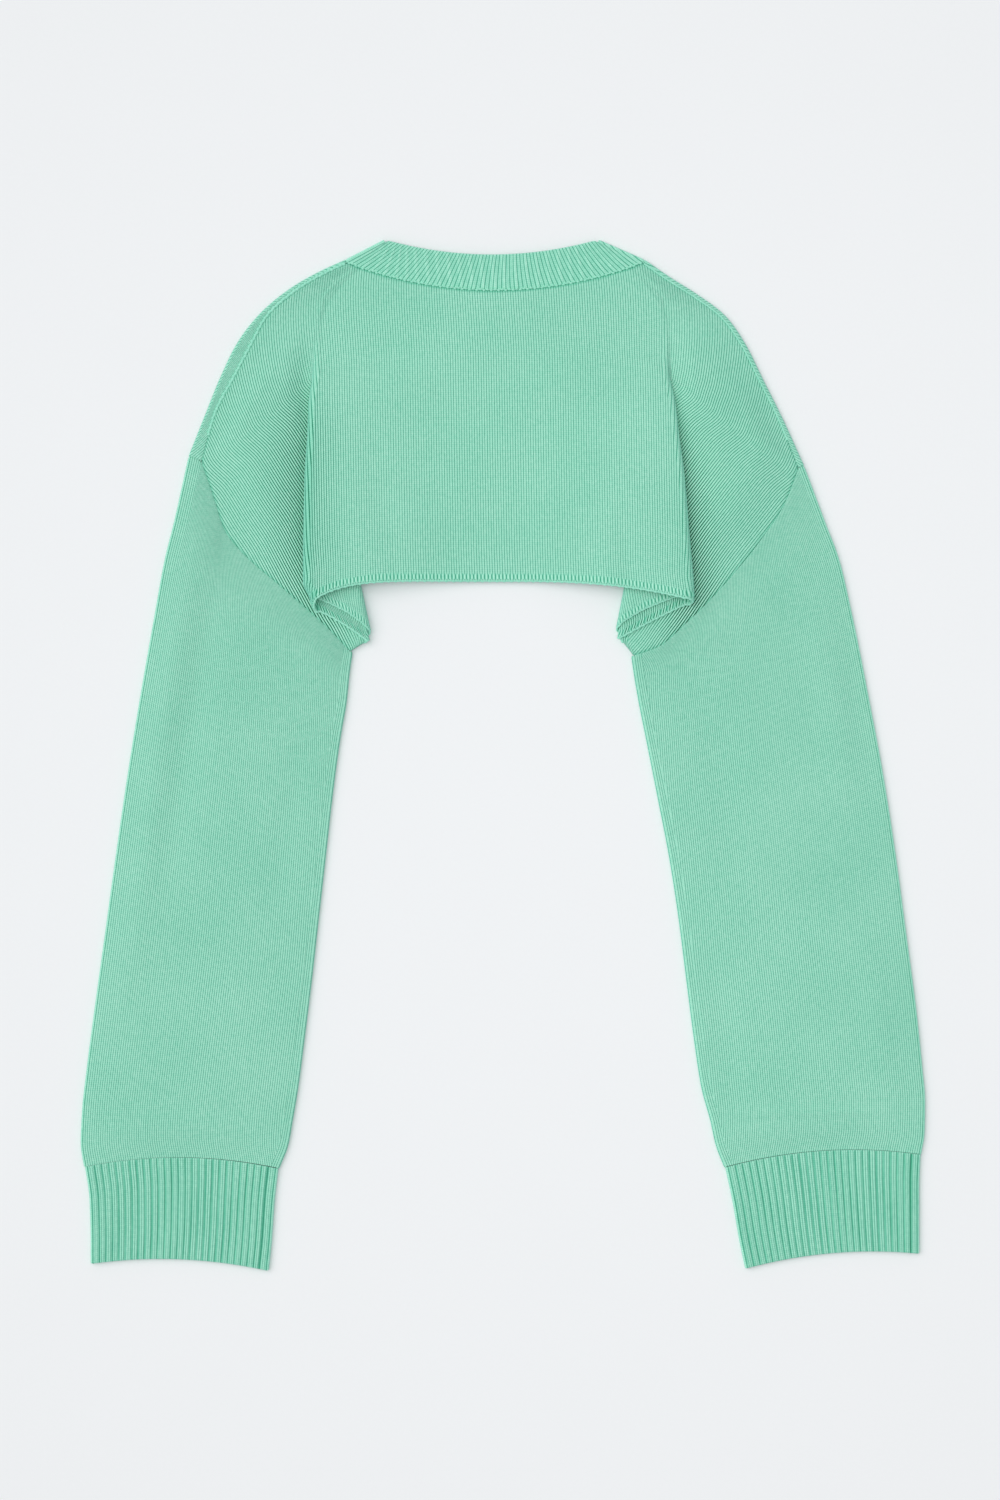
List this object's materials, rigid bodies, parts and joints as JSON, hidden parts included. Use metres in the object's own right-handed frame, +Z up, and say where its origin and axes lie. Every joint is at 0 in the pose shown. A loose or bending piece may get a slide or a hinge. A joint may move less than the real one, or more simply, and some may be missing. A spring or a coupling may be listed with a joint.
{
  "type": "cropped sweater",
  "caption": "Cropped long-sleeved knit sweater laid flat with its back up: short body tucked under at the underarms, ribbed neckband and cuffs.",
  "frame": {"origin": "centre of the bounding box, on the surface that the sweater lies on", "axes": "+Z up, out of the surface; +Y from the cuffs towards the neck, along the longest side; +X to the right as it is seen from above with its back up"},
  "size_m": [0.6076, 0.7432, 0.0126],
  "materials": {
    "knit": "matte plain knit, slightly fuzzy",
    "rib": "matte rib knit, slightly fuzzy"
  },
  "bodies": {
    "root": {"back_panel": "knit", "front_panel": "knit", "left_sleeve": "knit", "right_sleeve": "knit", "left_cuff": "rib", "right_cuff": "rib", "neckband": "rib"}
  },
  "joints": []
}
